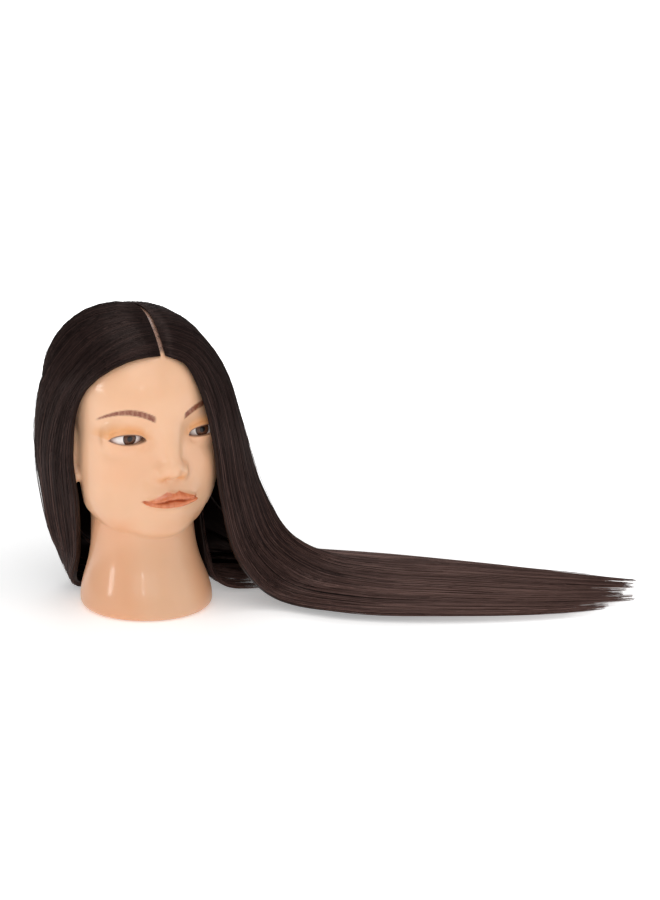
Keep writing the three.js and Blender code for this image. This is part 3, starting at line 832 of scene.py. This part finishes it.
def make_hair():
    shades = hair_materials()
    per_lock = STRANDS
    outer = Sheet(OUTER_GUIDES, outer_thickness)
    for name, count, start, end in HAIR_SECTIONS:
        for i in range(count):
            a, b = mix(start, end, i / count), mix(start, end, (i + 1) / count)
            make_lock(f"{name}_{i + 1}", outer, a, b, per_lock, shades, LOCK_REACH)
    nape = Sheet(NAPE_GUIDES, lambda across, along: along_values(NAPE_THICK, along) + 0 * across)
    for i in range(4):
        make_lock(f"hair_nape_{i + 1}", nape, i / 4, (i + 1) / 4, per_lock // 2, shades, NAPE_REACH)


# ---------------------------------------------------------------- the set
VIEW_TURN, VIEW_TILT = -25, 17  # degrees
VIEW_DISTANCE = 8.0
VIEW_HEIGHT = 0.792  # height of the picture at the object, m
VIEW_CENTRE = (0.163, -0.0325, 0.1287)
WORLD_LIGHT, WORLD_SEEN = 0.38, 1.05
FLOOR_HALF = 6.0
HEAD_MIDDLE, NECK_FOOT = (0.05, 0, 0.13), (0, 0, 0.05)
LIGHTS = (
    # name, turn and tilt in degrees, distance and size in metres, watts, where it points
    ("key", -24, 42, 1.6, (1.3, 1.1), 6.0, HEAD_MIDDLE),
    ("neck_shine", -92, 17, 1.3, (0.2, 0.2), 1.9, NECK_FOOT),
    ("eye_spark", -30, 24, 1.2, (0.035, 0.035), 0.25, HEAD_MIDDLE),
    ("top", -20, 82, 1.5, (1.0, 0.8), 6.6, HEAD_MIDDLE),
    ("fill", 42, 18, 1.9, (1.3, 1.3), 2.5, HEAD_MIDDLE),
    ("crown", 152, 46, 1.6, (0.9, 0.5), 2.6, HEAD_MIDDLE),
)


def direction(turn, tilt):
    """The way out from the object, turned about Z from its front and tilted up, in degrees."""
    turn, tilt = math.radians(turn), math.radians(tilt)
    return Vector((math.sin(turn) * math.cos(tilt), -math.cos(turn) * math.cos(tilt), math.sin(tilt)))


def place_facing(obj, aim, back, distance):
    obj.location = Vector(aim) + back * distance
    obj.rotation_euler = back.to_track_quat("Z", "Y").to_euler()
    bpy.context.scene.collection.objects.link(obj)


def make_camera():
    camera = bpy.data.objects.new("camera", bpy.data.cameras.new("camera"))
    place_facing(camera, VIEW_CENTRE, direction(VIEW_TURN, VIEW_TILT), VIEW_DISTANCE)
    camera.data.sensor_height = 36
    camera.data.sensor_width = 36
    camera.data.lens = 36 * VIEW_DISTANCE / VIEW_HEIGHT
    bpy.context.scene.camera = camera


def make_world():
    """Plain white surroundings, brighter to look at than the light they give."""
    scene = bpy.context.scene
    scene.view_settings.view_transform = "Standard"
    scene.world = bpy.data.worlds.new("studio")
    scene.world.use_nodes = True
    tree = scene.world.node_tree
    background = tree.nodes["Background"]
    background.inputs["Color"].default_value = (1, 1, 1, 1)
    seen = tree.nodes.new("ShaderNodeLightPath").outputs["Is Camera Ray"]
    strength = maths(tree, "ADD", maths(tree, "MULTIPLY", seen, WORLD_SEEN - WORLD_LIGHT), WORLD_LIGHT)
    tree.links.new(strength, background.inputs["Strength"])


def make_floor():
    """A white floor that glows more the further it is from the object, so that it fades into the background."""
    corners = np.array([[-1, -1, 0], [1, -1, 0], [1, 1, 0], [-1, 1, 0]]) * FLOOR_HALF / MM
    floor = new_object("floor", corners, [np.array([[0, 1, 2, 3]])], False)
    material, tree, shader = new_material("floor_white", 0.6, (0.9, 0.9, 0.9))
    shader.inputs["Emission Color"].default_value = (1, 1, 1, 1)
    away = node(tree, "VectorMath", Vector=node(tree, "TexCoord").outputs["Object"])
    away.operation = "LENGTH"
    far = ramp(tree, away.outputs["Value"], 0.15, 0.7)
    glow = maths(tree, "ADD", maths(tree, "MULTIPLY", far, 0.7), 0.34)
    tree.links.new(glow, shader.inputs["Emission Strength"])
    floor.data.materials.append(material)


def make_lights():
    for name, turn, tilt, distance, size, power, aim in LIGHTS:
        light = bpy.data.lights.new(name, "AREA")
        light.shape = "RECTANGLE"
        light.size, light.size_y = size
        light.energy = power
        place_facing(bpy.data.objects.new(name, light), aim, direction(turn, tilt), distance)


make_camera()
make_world()
make_floor()
make_lights()
make_head(vinyl_material())
make_eye(1)
make_eye(-1)
finish_cad_nodes()
make_hair()
